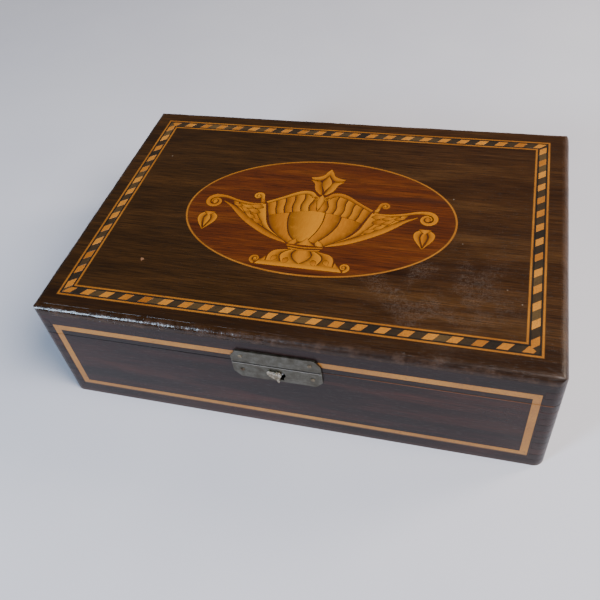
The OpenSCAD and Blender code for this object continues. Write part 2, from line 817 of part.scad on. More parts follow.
base_front();
base_back();
base_left_end();
base_right_end();
base_bottom();
base_stringing();
lock_face_plate();
lock_case();
lock_key_pin();
face_plate_pins();
cover_rivet();
bolt_spring();
hinge_base_leaves();
hinge_pins();
hinge_base_screws();
floor_pad();
lining_front();
lining_back();
lining_left();
lining_right();
lid_front_rail();
lid_back_rail();
lid_left_rail();
lid_right_rail();
lid_panel();
banding_outer_line();
banding_outer_fillet();
banding_light_lozenges();
banding_dark_lozenges();
banding_inner_fillet();
banding_inner_line();
oval_line();
oval_ground();
urn_finial();
urn_cover();
urn_bowl();
urn_left_handle();
urn_right_handle();
urn_left_pendant();
urn_right_pendant();
urn_collar();
urn_foot();
lid_stringing();
lock_hook_plate();
hook_plate_pins();
hinge_lid_leaves();
hinge_lid_screws();
lid_lining();
lock_bolt();
keyhole_cover();
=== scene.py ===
import itertools
import math
import random

import bpy
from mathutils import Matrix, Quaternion, Vector
from mathutils import noise as turbulence_noise


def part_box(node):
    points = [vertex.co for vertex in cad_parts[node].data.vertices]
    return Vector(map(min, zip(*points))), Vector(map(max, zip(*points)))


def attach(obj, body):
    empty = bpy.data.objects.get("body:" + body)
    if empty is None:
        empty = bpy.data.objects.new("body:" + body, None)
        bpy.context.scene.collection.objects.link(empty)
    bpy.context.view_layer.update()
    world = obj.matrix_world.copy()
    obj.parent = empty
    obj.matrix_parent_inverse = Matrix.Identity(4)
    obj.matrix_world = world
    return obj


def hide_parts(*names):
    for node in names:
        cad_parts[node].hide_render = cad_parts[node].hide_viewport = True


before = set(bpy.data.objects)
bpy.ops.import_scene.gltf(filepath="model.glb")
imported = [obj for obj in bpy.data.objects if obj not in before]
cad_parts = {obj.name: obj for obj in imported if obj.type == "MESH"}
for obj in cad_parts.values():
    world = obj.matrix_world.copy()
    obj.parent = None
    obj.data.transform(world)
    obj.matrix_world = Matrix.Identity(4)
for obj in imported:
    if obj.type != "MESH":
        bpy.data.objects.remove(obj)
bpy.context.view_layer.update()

mm = 0.001

# ---- Camera -------------------------------------------------------------------------------
# The viewpoint of a person who stands over the box's front, a little to the right, and tilts
# the camera slightly.

eye = Vector((0.0844, -0.2652, 0.3058))
aim = Vector((-0.0053, -0.0312, 0.035))
roll = math.radians(-8.69)
lens = bpy.data.cameras.new("camera")
lens.sensor_width = 36
lens.lens = 40.8
lens.clip_start = 0.01
camera = bpy.data.objects.new("camera", lens)
camera.location = eye
camera.rotation_mode = "QUATERNION"
camera.rotation_quaternion = (aim - eye).to_track_quat("-Z", "Y") @ Quaternion((0, 0, 1), roll)
bpy.context.scene.collection.objects.link(camera)
bpy.context.scene.camera = camera

# ---- Floor and light ----------------------------------------------------------------------
# A plain pale sheet of card, a cool soft window in front on the left, a warm soft lamp behind
# on the right, and a large soft light high over the front.


def put(tree, kind, links=None, **settings):
    """Adds a shader node, sets its options, and links or fills its inputs."""
    made = tree.nodes.new("ShaderNode" + kind)
    for key, value in settings.items():
        setattr(made, key, value)
    for key, value in (links or {}).items():
        if isinstance(value, bpy.types.NodeSocket):
            tree.links.new(value, made.inputs[key])
        else:
            made.inputs[key].default_value = value
    return made


def tones(tree, factor, stops):
    """A colour ramp from a list of (place, colour)."""
    made = put(tree, "ValToRGB", {"Fac": factor})
    ramp = made.color_ramp
    while len(ramp.elements) < len(stops):
        ramp.elements.new(0.5)
    for element, (place, colour) in zip(ramp.elements, stops):
        element.position = place
        element.color = (*colour, 1)
    return made.outputs[0]


def noise(tree, place, scale, detail=3.0, rough=0.55, distortion=0.0):
    """Smooth noise of about 0 to 1, with the scale given along each axis in cycles a metre."""
    spread = put(tree, "VectorMath", {0: place, 1: scale}, operation="MULTIPLY").outputs[0]
    made = put(tree, "TexNoise", {"Vector": spread, "Scale": 1.0, "Detail": detail,
                                  "Roughness": rough, "Distortion": distortion})
    return made.outputs["Fac"]


def finish_for(name):
    """A new material and its shader."""
    material = bpy.data.materials.new(name)
    material.use_nodes = True
    tree = material.node_tree
    return material, tree, tree.nodes["Principled BSDF"]


bpy.ops.object.select_all(action="DESELECT")
bpy.ops.mesh.primitive_plane_add(size=8, location=(0, 0, 0))
floor = bpy.context.object
floor.name = "floor"
card, tree, bsdf = finish_for("pale_card")
place = put(tree, "TexCoord").outputs["Object"]
mottle = noise(tree, place, (9, 9, 9), 2)
tree.links.new(tones(tree, mottle, [(0.3, (0.72, 0.725, 0.80)), (0.7, (0.76, 0.765, 0.83))]),
               bsdf.inputs["Base Color"])
bsdf.inputs["Roughness"].default_value = 0.85
bsdf.inputs["Specular IOR Level"].default_value = 0.2
floor.data.materials.append(card)


def soft_light(name, where, size, power, colour):
    data = bpy.data.lights.new(name, "AREA")
    data.shape = "DISK"
    data.size = size
    data.energy = power
    data.color = colour
    light = bpy.data.objects.new(name, data)
    light.location = where
    light.rotation_mode = "QUATERNION"
    light.rotation_quaternion = (Vector((0, 0, 0.03)) - Vector(where)).to_track_quat("-Z", "Y")
    bpy.context.scene.collection.objects.link(light)


soft_light("window", (-0.62, -0.80, 0.52), 0.26, 9.5, (0.60, 0.78, 1.0))
soft_light("lamp", (0.95, 0.45, 0.62), 0.35, 7.0, (1.0, 0.87, 0.73))
soft_light("overhead", (0.95, -0.35, 1.20), 0.9, 32.0, (1.0, 0.945, 0.91))
world = bpy.data.worlds.new("room")
world.use_nodes = True
world.node_tree.nodes["Background"].inputs["Color"].default_value = (0.80, 0.86, 1.0, 1)
world.node_tree.nodes["Background"].inputs["Strength"].default_value = 0.11
bpy.context.scene.world = world

# ---- Boards of the base and rails of the lid ----------------------------------------------
# Dark stained boards, comb-jointed at the corners and French polished. Each is the CAD board
# with its loose triangles joined and its sharp edges eased, as years of handling leave them.


def reckon(tree, operation, a, b=0.0, c=0.0, clamp=False):
    """One step of arithmetic."""
    return put(tree, "Math", {0: a, 1: b, 2: c}, operation=operation, use_clamp=clamp).outputs[0]


def times(tree, a, b, clamp=False):
    return reckon(tree, "MULTIPLY", a, b, clamp=clamp)


def plus(tree, a, b):
    return reckon(tree, "ADD", a, b)


def minus(tree, a, b):
    return reckon(tree, "SUBTRACT", a, b)


def between(tree, value, low, high):
    """0 below low, 1 above high, and smooth between them. With low above high it falls."""
    made = put(tree, "MapRange", {"Value": value, "From Min": low, "From Max": high},
               interpolation_type="SMOOTHSTEP")
    return made.outputs["Result"]


def stain(tree, factor, under, over, mode="MIX"):
    """Lays one colour over another."""
    return put(tree, "Mix", {0: factor, 6: under, 7: over}, data_type="RGBA", blend_type=mode).outputs[2]


def choose(piece):
    bpy.ops.object.select_all(action="DESELECT")
    piece.select_set(True)
    bpy.context.view_layer.objects.active = piece


def eased(node, name, body, edge, segments=2):
    """A copy of a CAD piece with its edges eased, which stands for that piece."""
    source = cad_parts[node]
    piece = bpy.data.objects.new(name, source.data.copy())
    bpy.context.scene.collection.objects.link(piece)
    piece.data.materials.clear()
    choose(piece)
    bpy.ops.object.mode_set(mode="EDIT")
    bpy.ops.mesh.select_all(action="SELECT")
    bpy.ops.mesh.remove_doubles(threshold=0.002 * mm)
    bpy.ops.mesh.dissolve_limited(angle_limit=math.radians(0.4))
    bpy.ops.object.mode_set(mode="OBJECT")
    if edge:
        bevel = piece.modifiers.new("eased_edge", "BEVEL")
        bevel.width = edge
        bevel.segments = segments
        bevel.limit_method = "ANGLE"
        bevel.angle_limit = math.radians(35)
        bpy.ops.object.modifier_apply(modifier=bevel.name)
    bpy.ops.object.shade_smooth_by_angle(angle=math.radians(35))
    flat = piece.modifiers.new("flat_faces", "WEIGHTED_NORMAL")
    flat.keep_sharp = True
    bpy.ops.object.modifier_apply(modifier=flat.name)
    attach(piece, body)
    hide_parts(node)
    return piece


def grained(tree, place, along, dark, middle, light, figure_scale=1.0):
    """Colour, pore mask and sheen mask of a fine grained board whose grain runs along X or Y."""
    def stretched(length, width):
        long, cross = 1 / length, figure_scale / width
        return (long, cross, cross) if along == "x" else (cross, long, cross)

    figure = noise(tree, place, stretched(0.15, 0.013), 4, 0.6, 0.6)
    fibre = noise(tree, place, stretched(0.018, 0.0007), 3, 0.6)
    pore = noise(tree, place, stretched(0.0045, 0.00022), 2, 0.5)
    colour = tones(tree, figure, [(0.30, dark), (0.50, middle), (0.72, light)])
    colour = stain(tree, 0.75, colour,
                   tones(tree, fibre, [(0.34, (0.35, 0.32, 0.30)), (0.66, (1.6, 1.55, 1.5))]),
                   "MULTIPLY")
    pores = between(tree, pore, 0.60, 0.72)
    colour = stain(tree, times(tree, pores, 0.8), colour, (0.005, 0.003, 0.002, 1))
    return colour, pores, fibre


def worn_by_noise(tree, place, scale, low, high):
    return between(tree, noise(tree, place, (scale, scale, scale), 4, 0.65), low, high)


def raised(tree, bsdf, height, strength, distance):
    """Turns a height into small relief."""
    bump = put(tree, "Bump", {"Height": height, "Strength": strength, "Distance": distance})
    tree.links.new(bump.outputs[0], bsdf.inputs["Normal"])


def case_polish(along):
    """Dark polish over red-brown wood, thin and dusty in places."""
    material, tree, bsdf = finish_for("case_polish_" + along)
    place = put(tree, "TexCoord").outputs["Object"]
    colour, pores, fibre = grained(tree, place, along, (0.005, 0.0022, 0.0020), (0.014, 0.0044, 0.0036),
                                   (0.044, 0.0118, 0.0075))
    bsdf.inputs["Specular IOR Level"].default_value = 0.26
    parts = put(tree, "SeparateXYZ", {0: place})
    rubbed = worn_by_noise(tree, place, 260, 0.60, 0.72)
    colour = stain(tree, times(tree, rubbed, 0.3), colour, (0.075, 0.038, 0.028, 1))
    low = between(tree, parts.outputs["Z"], 3.5 * mm, 0.3 * mm)
    colour = stain(tree, times(tree, low, 0.5), colour, (0.09, 0.05, 0.035, 1))
    # the top edge of the base is lighter outside on its right half, and painted shade darkens the bottom of
    # the rails just above the seam
    base_top_edge_band = times(tree, between(tree, parts.outputs["Z"], 50.25 * mm, 50.5 * mm),
                       between(tree, parts.outputs["Z"], 51.0 * mm, 50.9 * mm))
    base_top_edge_band = times(tree, base_top_edge_band, between(tree, parts.outputs["X"], 0.0, 60 * mm))
    outside = between(tree, parts.outputs["Y"], -87.0 * mm, -87.3 * mm)
    base_top_edge_band = times(tree, base_top_edge_band, outside)
    # painted shade: the outside of the rails, within a millimetre above the seam, turned nearly black
    painted_seam_shade = times(tree, between(tree, parts.outputs["Z"], 51.0 * mm, 51.1 * mm),
                   between(tree, parts.outputs["Z"], 51.9 * mm, 51.4 * mm))
    colour = stain(tree, times(tree, base_top_edge_band, 0.8), colour, (0.17, 0.065, 0.030, 1))
    painted_seam_shade = times(tree, painted_seam_shade, outside)
    colour = stain(tree, times(tree, painted_seam_shade, 0.85), colour, (0.004, 0.003, 0.003, 1))
    tree.links.new(colour, bsdf.inputs["Base Color"])
    dull = noise(tree, place, (30, 30, 30), 3)
    roughness = plus(tree, times(tree, dull, 0.22), 0.20)
    roughness = plus(tree, roughness, times(tree, rubbed, 0.15))
    tree.links.new(roughness, bsdf.inputs["Roughness"])
    height = minus(tree, times(tree, fibre, 0.5), pores)
    height = plus(tree, height, times(tree, dull, 2.0))
    raised(tree, bsdf, height, 0.5, 0.05 * mm)
    return material


polish_x = case_polish("x")
polish_y = case_polish("y")
boards = [("base_front", "front_board", "base", polish_x), ("base_back", "back_board", "base", polish_x),
          ("base_left_end", "left_board", "base", polish_y),
          ("base_right_end", "right_board", "base", polish_y),
          ("lid_front_rail", "front_rail", "lid", polish_x),
          ("lid_back_rail", "back_rail", "lid", polish_x),
          ("lid_left_rail", "left_rail", "lid", polish_y),
          ("lid_right_rail", "right_rail", "lid", polish_y)]
for node, name, body, polish in boards:
    board = eased(node, name, body, 0.22 * mm)
    board.data.materials.append(polish)

# ---- Top panel of the lid -----------------------------------------------------------------
# One dark board glued over the rails, its top edge rounded and then worn uneven by hands. The
# old polish has crazed near the oval, and there is dust, a chip and rubbed edges.

_, panel_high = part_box("lid_panel")
panel = eased("lid_panel", "top_panel", "lid", 0)
top_z = panel_high.z
bpy.ops.object.mode_set(mode="EDIT")
bpy.ops.mesh.select_all(action="DESELECT")
bpy.ops.object.mode_set(mode="OBJECT")
for edge in panel.data.edges:
    a, b = (panel.data.vertices[i].co for i in edge.vertices)
    near_rim = min(panel_high.x - abs(a.x), panel_high.y - abs(a.y)) < 4.5 * mm
    edge.select = near_rim and (a - b).length > 20 * mm and abs(a.z - b.z) < 0.01 * mm and a.z > 65.7 * mm
bpy.ops.object.mode_set(mode="EDIT")
bpy.ops.mesh.subdivide(number_cuts=70)
bpy.ops.object.mode_set(mode="OBJECT")
rim_wear = 0.15 * mm
outward = [v.normal.copy() for v in panel.data.vertices]
for v, way in zip(panel.data.vertices, outward):
    if 65.8 * mm < v.co.z < top_z - 0.02 * mm:
        depth = turbulence_noise.noise(v.co * 90) + 0.6 * turbulence_noise.noise(v.co * 300)
        v.co -= way * rim_wear * max(0.0, 0.45 + depth)
bpy.ops.object.shade_smooth_by_angle(angle=math.radians(35))
flat = panel.modifiers.new("flat_faces", "WEIGHTED_NORMAL")
flat.keep_sharp = True
bpy.ops.object.modifier_apply(modifier=flat.name)

lid_polish, tree, bsdf = finish_for("lid_polish")
bsdf.inputs["Specular IOR Level"].default_value = 0.4
place = put(tree, "TexCoord").outputs["Object"]
parts = put(tree, "SeparateXYZ", {0: place})
x, y, z = parts.outputs
left_colour, pores, fibre = grained(tree, place, "x", (0.017, 0.0072, 0.0016), (0.032, 0.0135, 0.0026),
                                    (0.058, 0.024, 0.005))
right_colour, _, _ = grained(tree, place, "x", (0.018, 0.0060, 0.0014), (0.042, 0.0165, 0.0042),
                             (0.078, 0.035, 0.010))
across = plus(tree, x, times(tree, noise(tree, place, (14, 30, 30), 3), 90 * mm))
colour = stain(tree, between(tree, across, -20 * mm, 110 * mm), left_colour, right_colour)
# old wax has darkened the margin in front of the banding
front_margin = between(tree, y, -68 * mm, -76 * mm)
colour = stain(tree, times(tree, front_margin, 0.55), colour, (0.010, 0.0032, 0.001, 1))
# polish rubbed thin on the rounded edges
from_side = minus(tree, panel_high.x, reckon(tree, "ABSOLUTE", x))
from_front = minus(tree, panel_high.y, reckon(tree, "ABSOLUTE", y))
rim = between(tree, reckon(tree, "MINIMUM", from_side, from_front), 5.5 * mm, 0.5 * mm)
rub = worn_by_noise(tree, place, 210, 0.44, 0.70)
colour = stain(tree, times(tree, times(tree, rim, rub), 0.55), colour,
               (0.080, 0.040, 0.022, 1))
# fine crazing
bend = put(tree, "TexNoise", {"Vector": place, "Scale": 220.0}).outputs["Color"]
bent = put(tree, "VectorMath", {0: place, 1: bend, 2: (0.004, 0.004, 0.0)}, operation="MULTIPLY_ADD")
cells = put(tree, "TexVoronoi", {"Vector": bent.outputs[0], "Scale": 150.0}, feature="DISTANCE_TO_EDGE")
cells = cells.outputs["Distance"]
crack = between(tree, cells, 0.045, 0.012)


def distance_to(tree, place, spot):
    return put(tree, "VectorMath", {0: place, 1: spot}, operation="DISTANCE").outputs["Value"]


patch = distance_to(tree, place, (66 * mm, -44 * mm, top_z))
crazed = times(tree, between(tree, patch, 60 * mm, 8 * mm),
                between(tree, noise(tree, place, (60, 60, 60), 3), 0.42, 0.62))
crack = times(tree, crack, crazed)
colour = stain(tree, times(tree, crack, 0.40), colour, (0.15, 0.10, 0.07, 1))
# dust and pin pricks
specks = put(tree, "TexVoronoi", {"Vector": place, "Scale": 130.0, "Randomness": 1.0})
sparse = between(tree, put(tree, "SeparateColor", {0: specks.outputs["Color"]}).outputs[0], 0.80, 0.86)
speck = times(tree, between(tree, specks.outputs["Distance"], 0.055, 0.035), sparse)
colour = stain(tree, times(tree, speck, 0.6), colour, (0.30, 0.26, 0.21, 1))
chip = distance_to(tree, place, (-82.3 * mm, -46.8 * mm, top_z))
chip_wobble = times(tree, noise(tree, place, (900, 900, 900), 2), 2.2 * mm)
chip = between(tree, plus(tree, chip, chip_wobble), 2.3 * mm, 1.9 * mm)
colour = stain(tree, times(tree, chip, 0.8), colour, (0.30, 0.15, 0.08, 1))
tree.links.new(colour, bsdf.inputs["Base Color"])
dull = noise(tree, place, (26, 40, 40), 4)
roughness = plus(tree, times(tree, dull, 0.25), 0.22)
glossy = times(tree, rim, between(tree, x, 20 * mm, -30 * mm))
roughness = minus(tree, roughness, times(tree, glossy, 0.19))
roughness = plus(tree, roughness, times(tree, times(tree, rim, rub), 0.08))
tree.links.new(roughness, bsdf.inputs["Roughness"])
height = minus(tree, times(tree, fibre, 0.5), pores)
height = minus(tree, height, times(tree, crack, 1.5))
height = minus(tree, height, times(tree, chip, 3.0))
ripple = noise(tree, place, (500, 500, 500), 3)
height = plus(tree, height, times(tree, ripple, plus(tree, 0.5, times(tree, rim, 3.5))))
raised(tree, bsdf, height, 0.6, 0.06 * mm)
panel.data.materials.append(lid_polish)

# ---- Stringing and banding ----------------------------------------------------------------
# Light boxwood lines and black fillets, sawn thin, let in flush and mitred. Between the fillets
# runs a row of leaning lozenges, light and dark in turn, each cut from its own scrap.


def inlaid_wood(name, stops, fleck, roughness_low=0.28, frame_node=None, width=1.45):
    """Thin polished inlay: slow changes of tone along it, fine fibres, and dark flecks of old polish."""
    material, tree, bsdf = finish_for(name)
    place = put(tree, "TexCoord").outputs["Object"]
    slow = noise(tree, place, (45, 45, 45), 3)
    tone = put(tree, "Attribute", attribute_name="tone").outputs["Fac"]
    slow = plus(tree, times(tree, slow, 0.6), times(tree, tone, 0.4))
    colour = tones(tree, slow, stops)
    fine = noise(tree, place, (1500, 1500, 1500), 3)
    fibres = tones(tree, fine, [(0.3, (0.62, 0.58, 0.52)), (0.7, (1.25, 1.22, 1.18))])
    colour = stain(tree, 0.6, colour, fibres, "MULTIPLY")
    dirt = between(tree, noise(tree, place, (420, 420, 420), 4, 0.7), 0.56, 0.74)
    colour = stain(tree, times(tree, dirt, 0.55), colour, (*fleck, 1))
    if frame_node:
        # old polish has crept in from both sides of the line
        low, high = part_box(frame_node)
        x, y, z = put(tree, "SeparateXYZ", {0: place}).outputs
        inward = [minus(tree, half, reckon(tree, "ABSOLUTE", along))
                  for half, along in ((high.x, x), (high.y, y))]
        inward = reckon(tree, "MINIMUM", *inward)
        off_middle = reckon(tree, "ABSOLUTE", minus(tree, inward, width / 2 * mm))
        off_middle = plus(tree, off_middle, times(tree, dirt, 0.12 * mm))
        crept = between(tree, off_middle, (width / 2 - 0.40) * mm, (width / 2 - 0.20) * mm)
        colour = stain(tree, times(tree, crept, 0.85), colour, (0.030, 0.013, 0.005, 1))
    elif name == "oval_line_wood":
        low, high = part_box("oval_line")
        centred = put(tree, "VectorMath", {0: place, 1: (low + high) / 2}, operation="SUBTRACT").outputs[0]
        flat_place = put(tree, "VectorMath", {0: centred, 1: (1, 1, 0)}, operation="MULTIPLY").outputs[0]
        span = put(tree, "VectorMath", {0: flat_place}, operation="LENGTH").outputs["Value"]
        shape = (2 / (high.x - low.x), 2 / (high.y - low.y), 0)
        unit = put(tree, "VectorMath", {0: flat_place, 1: shape}, operation="MULTIPLY").outputs[0]
        unit = put(tree, "VectorMath", {0: unit}, operation="LENGTH").outputs["Value"]
        inward = minus(tree, reckon(tree, "DIVIDE", span, unit), span)
        off_middle = reckon(tree, "ABSOLUTE", minus(tree, inward, 0.68 * mm))
        crept = between(tree, off_middle, 0.36 * mm, 0.54 * mm)
        colour = stain(tree, times(tree, crept, 0.85), colour, (0.045, 0.014, 0.004, 1))
    elif name == "boxwood_line":
        # along the bottom the line is half hidden under dark polish
        z = put(tree, "SeparateXYZ", {0: place}).outputs["Z"]
        buried = between(tree, plus(tree, z, times(tree, dirt, 0.3 * mm)), 8.9 * mm, 8.6 * mm)
        colour = stain(tree, times(tree, buried, 0.85), colour, (0.020, 0.009, 0.006, 1))
    tree.links.new(colour, bsdf.inputs["Base Color"])
    tree.links.new(plus(tree, times(tree, fine, 0.25), roughness_low),
                   bsdf.inputs["Roughness"])
    raised(tree, bsdf, fine, 0.4, 0.03 * mm)
    return material


boxwood = inlaid_wood("boxwood_line", [(0.2, (0.36, 0.14, 0.020)), (0.5, (0.54, 0.24, 0.036)),
                                       (0.8, (0.66, 0.34, 0.070))], (0.16, 0.06, 0.02))
black = inlaid_wood("ebonised_fillet", [(0.3, (0.010, 0.008, 0.006)), (0.7, (0.03, 0.022, 0.014))],
                    (0.06, 0.035, 0.015))
light_lozenge = inlaid_wood("light_lozenge", [(0.2, (0.30, 0.095, 0.008)), (0.5, (0.46, 0.165, 0.014)),
                                              (0.85, (0.60, 0.25, 0.030))], (0.14, 0.05, 0.015))
dark_lozenge = inlaid_wood("dark_lozenge", [(0.25, (0.018, 0.012, 0.007)), (0.5, (0.048, 0.028, 0.011)),
                                            (0.8, (0.11, 0.065, 0.022))], (0.008, 0.006, 0.005))
line_stops = [(0.2, (0.30, 0.105, 0.010)), (0.5, (0.46, 0.18, 0.018)), (0.8, (0.60, 0.28, 0.040))]
outer_line = inlaid_wood("outer_line_wood", line_stops, (0.16, 0.06, 0.02), frame_node="banding_outer_line")
inner_line = inlaid_wood("inner_line_wood", line_stops, (0.16, 0.06, 0.02), frame_node="banding_inner_line")
oval_wood = inlaid_wood("oval_line_wood", line_stops, (0.16, 0.06, 0.02))
for node, wood in (("base_stringing", boxwood), ("lid_stringing", boxwood), ("oval_line", oval_wood),
                   ("banding_outer_line", outer_line), ("banding_inner_line", inner_line)):
    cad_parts[node].data.materials.clear()
    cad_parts[node].data.materials.append(wood)
for node in ("banding_outer_fillet", "banding_inner_fillet"):
    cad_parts[node].data.materials.clear()
    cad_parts[node].data.materials.append(black)


def tone_by_piece(piece, seed):
    """Gives each separate bit of a piece its own tone."""
    chance = random.Random(seed)
    parent = list(range(len(piece.data.vertices)))

    def top_of(i):
        while parent[i] != i:
            parent[i] = parent[parent[i]]
            i = parent[i]
        return i

    for edge in piece.data.edges:
        parent[top_of(edge.vertices[0])] = top_of(edge.vertices[1])
    given = {}
    tone = piece.data.attributes.new("tone", "FLOAT", "FACE")
    for face in piece.data.polygons:
        bit = top_of(face.vertices[0])
        if bit not in given:
            given[bit] = chance.random()
        tone.data[face.index].value = given[bit]


rows = (("light", "satinwood", light_lozenge, 3), ("dark", "ebonised", dark_lozenge, 8))
for shade, slot, wood, seed in rows:
    row = eased(f"banding_{shade}_lozenges", f"{shade}_lozenges", "lid", 0.05 * mm, 1)
    tone_by_piece(row, seed)
    row.data.materials.append(wood)

# ---- Ground of the picture ----------------------------------------------------------------
# An oval of red-brown figured veneer, a hair lower than the lid, with a dark streak above the
# middle on the right.

oval_low, oval_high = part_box("oval_ground")
oval_mid = (oval_low + oval_high) / 2
bpy.ops.object.select_all(action="DESELECT")
bpy.ops.mesh.primitive_circle_add(vertices=128, radius=1, fill_type="NGON",
                                  location=(oval_mid.x, oval_mid.y, oval_high.z - 0.45 * mm))
ground = bpy.context.object
ground.name = "picture_ground"
ground.scale = ((oval_high.x - oval_low.x) / 2, (oval_high.y - oval_low.y) / 2, 1)
bpy.ops.object.transform_apply(location=True, rotation=True, scale=True)
bpy.ops.object.mode_set(mode="EDIT")
bpy.ops.mesh.select_all(action="SELECT")
bpy.ops.mesh.extrude_region_move(TRANSFORM_OT_translate={"value": (0, 0, 0.41 * mm)})
bpy.ops.mesh.select_all(action="SELECT")
bpy.ops.mesh.normals_make_consistent(inside=False)
bpy.ops.object.mode_set(mode="OBJECT")
ground_wood, tree, bsdf = finish_for("figured_ground")
place = put(tree, "TexCoord").outputs["Object"]
x, y, z = put(tree, "SeparateXYZ", {0: place}).outputs
colour, pores, fibre = grained(tree, place, "x", (0.045, 0.0095, 0.0012), (0.095, 0.021, 0.0022),
                               (0.15, 0.041, 0.004), 1.3)
wander = times(tree, minus(tree, noise(tree, place, (30, 60, 60), 3), 0.5), 9 * mm)
streak = reckon(tree, "ABSOLUTE", minus(tree, plus(tree, y, wander), 17 * mm))
streak = times(tree, between(tree, streak, 2.6 * mm, 0.4 * mm), between(tree, x, 0.0, 30 * mm))
colour = stain(tree, times(tree, streak, 0.7), colour, (0.035, 0.010, 0.004, 1))
tree.links.new(colour, bsdf.inputs["Base Color"])
tree.links.new(plus(tree, times(tree, fibre, 0.2), 0.26), bsdf.inputs["Roughness"])
height = minus(tree, times(tree, fibre, 0.5), pores)
raised(tree, bsdf, height, 0.5, 0.04 * mm)
ground.data.materials.append(ground_wood)
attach(ground, "lid")
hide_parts("oval_ground")

# ---- The urn ------------------------------------------------------------------------------
# Marquetry: each leaf, scale and gadroon is its own bit of light veneer, cut with a fret saw and
# browned along one side in hot sand. The lines between the bits show the ground below. Points
# are millimetres from the urn's middle line and the lid's middle.

urn_mid = -0.8
veneer_z = top_z / mm - 0.015


def smooth_line(points, count):
    """Evenly spaced points along a smooth curve through a few given ones."""
    fine = []
    steps = 12
    for i in range(len(points) - 1):
        a, b = Vector(points[max(i - 1, 0)]), Vector(points[i])
        c, d = Vector(points[i + 1]), Vector(points[min(i + 2, len(points) - 1)])
        for k in range(steps):
            t = k / steps
            fine.append(0.5 * (2 * b + (c - a) * t + (2 * a - 5 * b + 4 * c - d) * t ** 2
                               + (3 * b - a - 3 * c + d) * t ** 3))
    fine.append(Vector(points[-1]))
    lengths = [0.0]
    for p, q in zip(fine, fine[1:]):
        lengths.append(lengths[-1] + (q - p).length)
    out = []
    k = 0
    for i in range(count):
        want = lengths[-1] * i / (count - 1)
        while k < len(fine) - 2 and lengths[k + 1] < want:
            k += 1
        span = max(lengths[k + 1] - lengths[k], 1e-9)
        out.append(fine[k].lerp(fine[k + 1], min(1.0, (want - lengths[k]) / span)))
    return out


bit_number = itertools.count(1)


def bit_of_veneer(side_a, side_b, burnt="a", bow=0.0, lift=0.0, gap=0.09, across=6, along=18):
    """One cut bit that fills the space between two long sides, browned along one of them."""
    line_a, line_b = smooth_line(side_a, along + 1), smooth_line(side_b, along + 1)
    half = along // 2
    over = line_b[half] - line_a[half]
    onward = line_a[half + 1] - line_a[half - 1]
    if over.x * onward.y - over.y * onward.x < 0:
        line_a, line_b = line_b, line_a
        burnt = {"a": "b", "b": "a"}.get(burnt, burnt)
    bpy.ops.object.select_all(action="DESELECT")
    bpy.ops.mesh.primitive_grid_add(x_subdivisions=across, y_subdivisions=along, size=1)
    bit = bpy.context.object
    burn = bit.data.attributes.new("burn", "FLOAT", "POINT")
    joint = bit.data.attributes.new("joint", "FLOAT", "POINT")
    for v in bit.data.vertices:
        u, w = v.co.x + 0.5, v.co.y + 0.5
        a, b = line_a[round(w * along)], line_b[round(w * along)]
        wide = max((b - a).length, 0.01)
        inset = min(0.45, gap / wide)
        rank, rim_part = round(u * across), min(0.3, 0.40 / wide)
        if 0 < rank < across:
            u = rim_part + (1 - 2 * rim_part) * (rank - 1) / (across - 2)
        joint.data[v.index].value = 1.0 if rank in (0, across) else 0.0
        spot = a.lerp(b, inset + (1 - 2 * inset) * u)
        spot.y += bow * 4 * u * (1 - u) * (1 - w) ** 2
        burn.data[v.index].value = {"a": (1 - u) ** 1.8, "b": u ** 1.8, "both": abs(2 * u - 1) ** 2.5,
                                    "start": (1 - w) ** 2.0, "end": w ** 2.0, "none": 0.0}[burnt]
        v.co = ((urn_mid + spot.x) * mm, spot.y * mm, (veneer_z + lift) * mm)
    tone = bit.data.attributes.new("tone", "FLOAT", "FACE")
    value = random.Random(next(bit_number)).random()
    for face in bit.data.polygons:
        tone.data[face.index].value = value
    return bit


def flipped(points, side):
    """The same points on the urn's right side when side is 1."""
    return [(-side * px, py) for px, py in points]


def half_bit(side, side_a, side_b, burnt, **options):
    """A bit given by its points on the left. Side 1 leaves it there, side -1 turns it over."""
    return bit_of_veneer(flipped(side_a, -side), flipped(side_b, -side), burnt, **options)


def scroll(centre, start, turns, r0, r1, w0, w1, way=1, lead_out=(), lead_in=(), steps=26):
    """The outer and inner sides of a ribbon that winds in to an eye."""
    outer, inner = list(lead_out), list(lead_in)
    for i in range(steps + 1):
        t = i / steps
        angle = math.radians(start + way * 360 * turns * t)
        r, w = r0 + (r1 - r0) * t, w0 + (w1 - w0) * t
        outer.append((centre[0] + r * math.cos(angle), centre[1] + r * math.sin(angle)))
        inner.append((centre[0] + (r - w) * math.cos(angle), centre[1] + (r - w) * math.sin(angle)))
    return outer, inner


def leaf(root, angle, length, width, side, lift=0.005):
    """A pointed scale that grows from its root towards the given angle, on the urn's left or right."""
    way = Vector((math.cos(math.radians(angle)), math.sin(math.radians(angle))))
    out = Vector((-way.y, way.x))
    left, right = [], []
    for t, swell in ((0, 0.25), (0.3, 1.0), (0.65, 0.85), (1, 0)):
        spine = Vector(root) + way * length * t
        left.append(tuple(spine + out * width / 2 * swell))
        right.append(tuple(spine - out * width / 2 * swell))
    return half_bit(side, left, right, "start", lift=lift, along=12, across=5)


def round_eye(centre, radius, lift=0.003):
    left = [(centre[0] + radius * math.cos(a), centre[1] + radius * math.sin(a))
            for a in (math.pi / 2 + math.pi * i / 8 for i in range(9))]
    right = [(2 * centre[0] - px, py) for px, py in left]
    return bit_of_veneer(left, right, "both", lift=lift, across=4, along=12)


